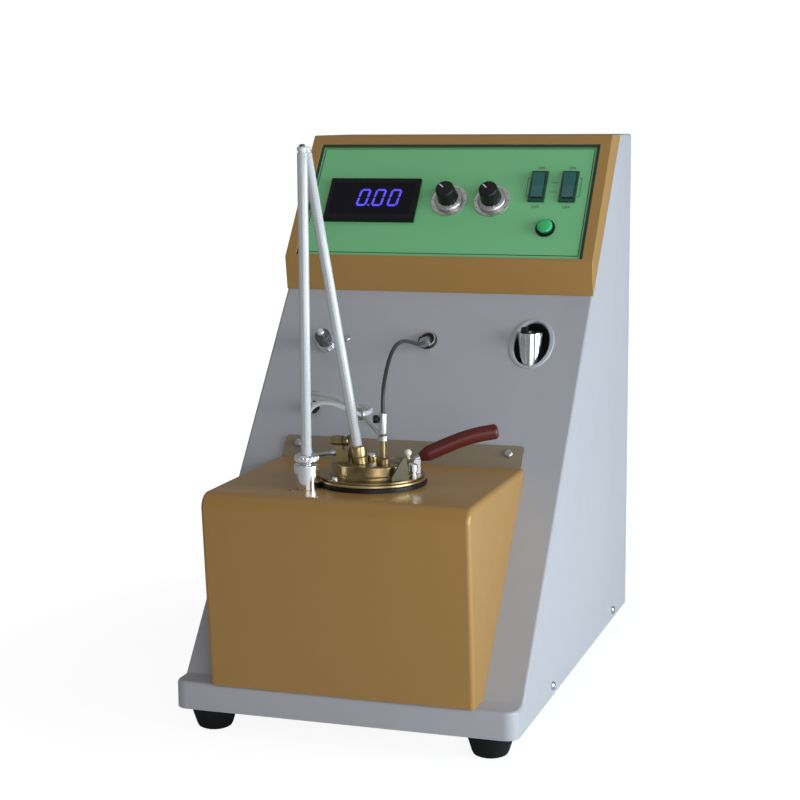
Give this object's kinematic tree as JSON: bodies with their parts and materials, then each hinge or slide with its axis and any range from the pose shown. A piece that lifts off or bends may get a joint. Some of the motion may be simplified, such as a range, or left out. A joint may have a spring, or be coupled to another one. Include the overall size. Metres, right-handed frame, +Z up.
{
  "type": "flash point tester",
  "caption": "Bench flash point tester with a sloping housing, control console, heated bath box and lidded brass test cup",
  "frame": {"origin": "on the bench, under the middle of the machine", "axes": "+Z up, -Y the front where the operator stands, +X to the right seen from the front"},
  "size_m": [0.2636, 0.4166, 0.431],
  "materials": {
    "painted_grey": "satin grey enamel",
    "painted_gold": "semi-gloss mustard enamel",
    "panel_green": "printed green panel",
    "rubber": "matt black",
    "steel": "plated",
    "chrome": "polished",
    "brass": "turned and lightly tarnished",
    "aluminium": "satin",
    "black_plastic": "matt black",
    "gloss_black": "gloss black",
    "meter_face": "tinted window",
    "rocker_green": "tinted translucent",
    "button_green": "gloss",
    "milk_glass": "white-backed stem",
    "handle_brown": "moulded, dark red-brown",
    "clear_hose": "clear hose",
    "copper": "drawn copper",
    "board_green": "laminate",
    "iron": "varnished laminations"
  },
  "bodies": {
    "base": {"housing_shell": "painted_grey", "base_plate": "painted_grey", "rear_cover": "painted_grey", "feet": "rubber", "case_screws": "steel", "console_shell": "painted_gold", "control_panel": "panel_green", "meter_case": "gloss_black", "meter_window": "meter_face", "dial_plates": "aluminium", "potentiometers": "steel", "mains_switch": "gloss_black", "lamp_switch": "gloss_black", "button_body": "black_plastic", "bath_box": "painted_gold", "bath_collar": "black_plastic", "bath_tank": "steel", "air_chamber": "brass", "bath_heater": "steel", "thermometer_bush": "chrome", "gland_nut": "chrome", "socket_ring": "black_plastic", "drive_nipple": "chrome", "stirrer_motor": "steel", "lamp_can": "chrome", "lamp_cap": "black_plastic", "gas_valve": "chrome", "hose_barb": "black_plastic", "gas_lines": "copper", "transformer": "iron", "control_board": "board_green", "mains_inlet": "black_plastic", "gas_nozzle": "brass"},
    "cup": {"test_cup": "brass"},
    "lid": {"lid": "brass", "lid_screws": "steel", "clamp_screw": "brass", "stop_bracket": "steel", "thermometer_ferrule": "brass", "stirrer_bearing": "brass", "drive_ferrule": "steel", "ferrule_screw": "black_plastic", "flexible_shaft": "black_plastic", "hose_stay": "steel", "burner_post": "brass", "handle_bracket": "steel", "handle": "handle_brown", "gas_hose": "clear_hose"},
    "cup_thermometer": {"cup_thermometer": "milk_glass"},
    "stirrer": {"stirrer": "steel"},
    "shutter": {"shutter": "brass"},
    "burner": {"burner": "brass"},
    "bath_thermometer": {"bath_thermometer": "milk_glass"},
    "heat_knob": {"heat_knob": "black_plastic"},
    "stir_knob": {"stir_knob": "black_plastic"},
    "mains_rocker": {"mains_rocker": "rocker_green"},
    "lamp_rocker": {"lamp_rocker": "rocker_green"},
    "button": {"button_cap": "button_green"},
    "valve_knob": {"valve_knob": "black_plastic"}
  },
  "joints": [
    {"name": "cup_lift", "type": "slide", "parent": "base", "child": "cup", "axis": [0, 0, 1], "range_m": [0, 0.065]},
    {"name": "lid_lift", "type": "slide", "parent": "cup", "child": "lid", "axis": [0, 0, 1], "range_m": [0, 0.072]},
    {"name": "cup_thermometer_lift", "type": "slide", "parent": "lid", "child": "cup_thermometer", "axis": [-0.1702, 0, 0.9854], "range_m": [0, 0.05]},
    {"name": "stirrer_spin", "type": "hinge", "parent": "lid", "child": "stirrer", "pos_m": [0.018, -0.1478, 0.1995], "axis": [0, 0, 1], "continuous": true},
    {"name": "shutter_turn", "type": "hinge", "parent": "lid", "child": "shutter", "pos_m": [0.0055, -0.1369, 0.1995], "axis": [0, 0, 1], "range_deg": [0, 35], "stiffness_Nm_per_rad": 0.02, "springref_deg": -8.59},
    {"name": "burner_tilt", "type": "hinge", "parent": "lid", "child": "burner", "pos_m": [-0.0143, -0.1492, 0.215], "axis": [1, 0, 0], "range_deg": [-45, 0]},
    {"name": "bath_thermometer_lift", "type": "slide", "parent": "base", "child": "bath_thermometer", "axis": [0, 0, 1], "range_m": [0, 0.068]},
    {"name": "heat_knob_turn", "type": "hinge", "parent": "base", "child": "heat_knob", "pos_m": [0.0018, 0.0759, 0.37785], "axis": [0, 0.7998, -0.6003], "range_deg": [-105, 195]},
    {"name": "stir_knob_turn", "type": "hinge", "parent": "base", "child": "stir_knob", "pos_m": [0.0384, 0.0759, 0.37785], "axis": [0, 0.7998, -0.6003], "range_deg": [-105, 195]},
    {"name": "mains_rocker_tip", "type": "hinge", "parent": "base", "child": "mains_rocker", "pos_m": [0.075, 0.08357, 0.38972], "axis": [1, 0, 0], "range_deg": [-18, 0]},
    {"name": "lamp_rocker_tip", "type": "hinge", "parent": "base", "child": "lamp_rocker", "pos_m": [0.1006, 0.08357, 0.38972], "axis": [1, 0, 0], "range_deg": [-18, 0]},
    {"name": "button_press", "type": "slide", "parent": "base", "child": "button", "axis": [0, 0.7998, -0.6003], "range_m": [0, 0.003], "stiffness_N_per_m": 250, "springref_m": -0.002},
    {"name": "valve_knob_turn", "type": "hinge", "parent": "base", "child": "valve_knob", "pos_m": [-0.0823, 0.01005, 0.26341], "axis": [0, 0.7759, -0.6308], "range_deg": [0, 270]}
  ],
  "couplings": [
    {"joint": "burner_tilt", "follows": "shutter_turn", "ratio": -1.25}
  ]
}
